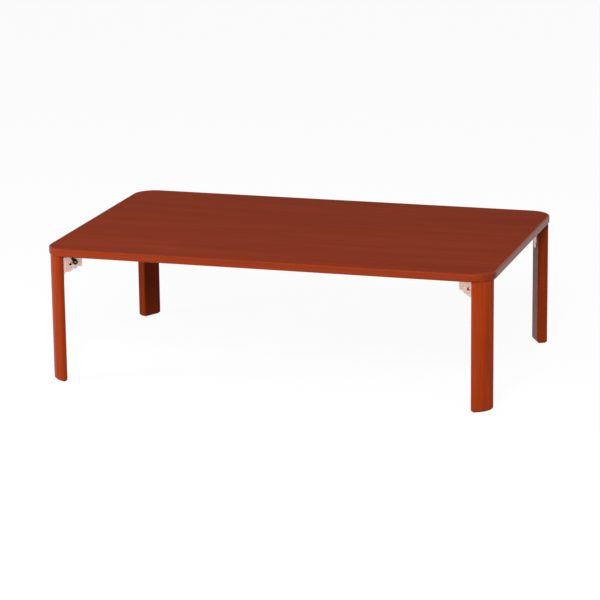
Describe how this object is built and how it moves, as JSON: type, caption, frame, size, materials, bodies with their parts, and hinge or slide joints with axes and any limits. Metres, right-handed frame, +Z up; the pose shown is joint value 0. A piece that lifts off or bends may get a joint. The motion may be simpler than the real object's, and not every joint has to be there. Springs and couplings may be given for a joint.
{
  "type": "folding low table",
  "caption": "Low rectangular floor table with rounded corners on bowed wooden legs that fold flat under the top and lock with a sprung pin.",
  "frame": {"origin": "on the floor plane, under the centre of the tabletop, legs standing", "axes": "+X along the long side of the top to the right, +Y from the front long side to the rear, +Z up"},
  "size_m": [1.2, 0.75, 0.36],
  "materials": {
    "lacquered_wood": "gloss",
    "particle_board": "matte",
    "backing": "matte",
    "felt": "matte",
    "zinc_steel": "satin",
    "yellow_zinc_steel": "satin",
    "blued_steel": "satin",
    "black_plastic": "satin"
  },
  "bodies": {
    "tabletop": {"top_core": "particle_board", "edge_lipping": "lacquered_wood", "top_veneer": "lacquered_wood", "back_sheet": "backing", "base_bracket_front_left": "zinc_steel", "base_screws_front_left": "yellow_zinc_steel", "pivot_pin_front_left": "yellow_zinc_steel", "leaf_spring_front_left": "blued_steel", "spring_rivet_front_left": "zinc_steel", "base_bracket_front_right": "zinc_steel", "base_screws_front_right": "yellow_zinc_steel", "pivot_pin_front_right": "yellow_zinc_steel", "leaf_spring_front_right": "blued_steel", "spring_rivet_front_right": "zinc_steel", "base_bracket_rear_right": "zinc_steel", "base_screws_rear_right": "yellow_zinc_steel", "pivot_pin_rear_right": "yellow_zinc_steel", "leaf_spring_rear_right": "blued_steel", "spring_rivet_rear_right": "zinc_steel", "base_bracket_rear_left": "zinc_steel", "base_screws_rear_left": "yellow_zinc_steel", "pivot_pin_rear_left": "yellow_zinc_steel", "leaf_spring_rear_left": "blued_steel", "spring_rivet_rear_left": "zinc_steel"},
    "leg_front_left": {"leg_front_left": "lacquered_wood", "foot_pad_front_left": "felt", "leg_plate_front_left": "zinc_steel", "leg_screws_front_left": "yellow_zinc_steel"},
    "lock_front_left": {"lock_pin_front_left": "yellow_zinc_steel", "release_knob_front_left": "black_plastic"},
    "leg_front_right": {"leg_front_right": "lacquered_wood", "foot_pad_front_right": "felt", "leg_plate_front_right": "zinc_steel", "leg_screws_front_right": "yellow_zinc_steel"},
    "lock_front_right": {"lock_pin_front_right": "yellow_zinc_steel", "release_knob_front_right": "black_plastic"},
    "leg_rear_right": {"leg_rear_right": "lacquered_wood", "foot_pad_rear_right": "felt", "leg_plate_rear_right": "zinc_steel", "leg_screws_rear_right": "yellow_zinc_steel"},
    "lock_rear_right": {"lock_pin_rear_right": "yellow_zinc_steel", "release_knob_rear_right": "black_plastic"},
    "leg_rear_left": {"leg_rear_left": "lacquered_wood", "foot_pad_rear_left": "felt", "leg_plate_rear_left": "zinc_steel", "leg_screws_rear_left": "yellow_zinc_steel"},
    "lock_rear_left": {"lock_pin_rear_left": "yellow_zinc_steel", "release_knob_rear_left": "black_plastic"}
  },
  "joints": [
    {"name": "leg_fold_front_left", "type": "hinge", "parent": "tabletop", "child": "leg_front_left", "pos_m": [-0.54161, -0.32944, 0.315], "axis": [0.4695, -0.8829, 0], "range_deg": [0, 90]},
    {"name": "lock_front_left", "type": "slide", "parent": "tabletop", "child": "lock_front_left", "axis": [-0.4695, 0.8829, 0], "range_m": [0, 0.0024], "deforming": ["leaf_spring_front_left"]},
    {"name": "leg_fold_front_right", "type": "hinge", "parent": "tabletop", "child": "leg_front_right", "pos_m": [0.54161, -0.32944, 0.315], "axis": [0.4695, 0.8829, 0], "range_deg": [0, 90]},
    {"name": "lock_front_right", "type": "slide", "parent": "tabletop", "child": "lock_front_right", "axis": [-0.4695, -0.8829, 0], "range_m": [0, 0.0024], "deforming": ["leaf_spring_front_right"]},
    {"name": "leg_fold_rear_right", "type": "hinge", "parent": "tabletop", "child": "leg_rear_right", "pos_m": [0.54161, 0.32944, 0.315], "axis": [-0.4695, 0.8829, 0], "range_deg": [0, 90]},
    {"name": "lock_rear_right", "type": "slide", "parent": "tabletop", "child": "lock_rear_right", "axis": [0.4695, -0.8829, 0], "range_m": [0, 0.0024], "deforming": ["leaf_spring_rear_right"]},
    {"name": "leg_fold_rear_left", "type": "hinge", "parent": "tabletop", "child": "leg_rear_left", "pos_m": [-0.54161, 0.32944, 0.315], "axis": [-0.4695, -0.8829, 0], "range_deg": [0, 90]},
    {"name": "lock_rear_left", "type": "slide", "parent": "tabletop", "child": "lock_rear_left", "axis": [0.4695, 0.8829, 0], "range_m": [0, 0.0024], "deforming": ["leaf_spring_rear_left"]}
  ]
}
